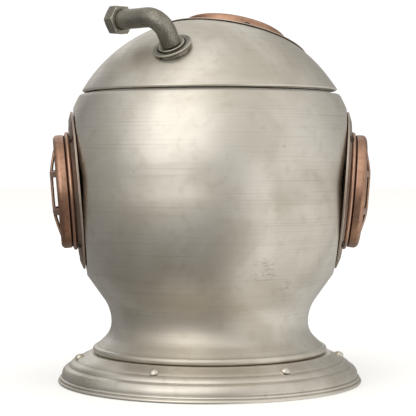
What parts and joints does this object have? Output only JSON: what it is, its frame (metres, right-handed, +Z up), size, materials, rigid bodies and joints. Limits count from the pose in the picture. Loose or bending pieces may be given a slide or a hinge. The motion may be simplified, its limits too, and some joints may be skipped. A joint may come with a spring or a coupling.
{
  "type": "helmet-shaped ice bucket",
  "caption": "Lidded, lined ice bucket shaped like a diving helmet: spun metal body on a stepped foot, round guarded windows, domed lid with a bent-pipe handle.",
  "frame": {"origin": "on the helmet's axis, in the plane that it stands on", "axes": "+Z up along the helmet's axis, -Y towards the face window, +X towards the window on the wearer's left"},
  "size_m": [0.2006, 0.1943, 0.2296],
  "materials": {
    "pewter": "turned, satin pewter finish with fine lines, blotches and pits",
    "inner_metal": "machined satin",
    "collar_metal": "brownish grey antique plating, satin",
    "copper": "antiqued copper plating, satin, dark in the grooves",
    "dark_cast": "grainy dark gunmetal casting",
    "dark_screw": "dark oxidised",
    "glass": "clear",
    "white_plastic": "moulded, slightly glossy",
    "felt": "pressed felt"
  },
  "bodies": {
    "vessel": {"body_shell": "pewter", "rim_collar": "inner_metal", "base_ring": "pewter", "base_rivet_1": "pewter", "base_rivet_2": "pewter", "base_rivet_3": "pewter", "base_rivet_4": "pewter", "base_rivet_5": "pewter", "base_rivet_6": "pewter", "bottom_plate": "inner_metal", "foot_pad": "felt", "front_collar": "collar_metal", "front_bezel": "copper", "front_pane": "glass", "front_guard": "copper", "front_screw_1": "dark_screw", "front_screw_2": "dark_screw", "front_screw_3": "dark_screw", "front_screw_4": "dark_screw", "left_collar": "collar_metal", "left_bezel": "copper", "left_pane": "glass", "left_guard": "copper", "left_screw_1": "dark_screw", "left_screw_2": "dark_screw", "left_screw_3": "dark_screw", "left_screw_4": "dark_screw", "right_collar": "collar_metal", "right_bezel": "copper", "right_pane": "glass", "right_guard": "copper", "right_screw_1": "dark_screw", "right_screw_2": "dark_screw", "right_screw_3": "dark_screw", "right_screw_4": "dark_screw"},
    "liner": {"liner": "white_plastic"},
    "lid_seat": {"lid_ring": "inner_metal"},
    "lid": {"lid_dome": "pewter", "top_collar": "collar_metal", "top_bezel": "copper", "top_pane": "glass", "top_guard": "copper", "top_screw_1": "dark_screw", "top_screw_2": "dark_screw", "top_screw_3": "dark_screw", "top_screw_4": "dark_screw", "elbow_flange": "dark_cast", "elbow_pipe": "dark_cast", "hex_nut": "dark_cast", "elbow_washer": "inner_metal", "elbow_nut": "inner_metal"}
  },
  "joints": [
    {"name": "liner_lift", "type": "slide", "parent": "vessel", "child": "liner", "axis": [0, 0, 1], "range_m": [0, 0.13]},
    {"name": "lid_lift", "type": "slide", "parent": "liner", "child": "lid_seat", "axis": [0, 0, 1], "range_m": [0, 0.08]},
    {"name": "lid_turn", "type": "hinge", "parent": "lid_seat", "child": "lid", "pos_m": [0, 0, 0.18], "axis": [0, 0, 1], "continuous": true}
  ]
}
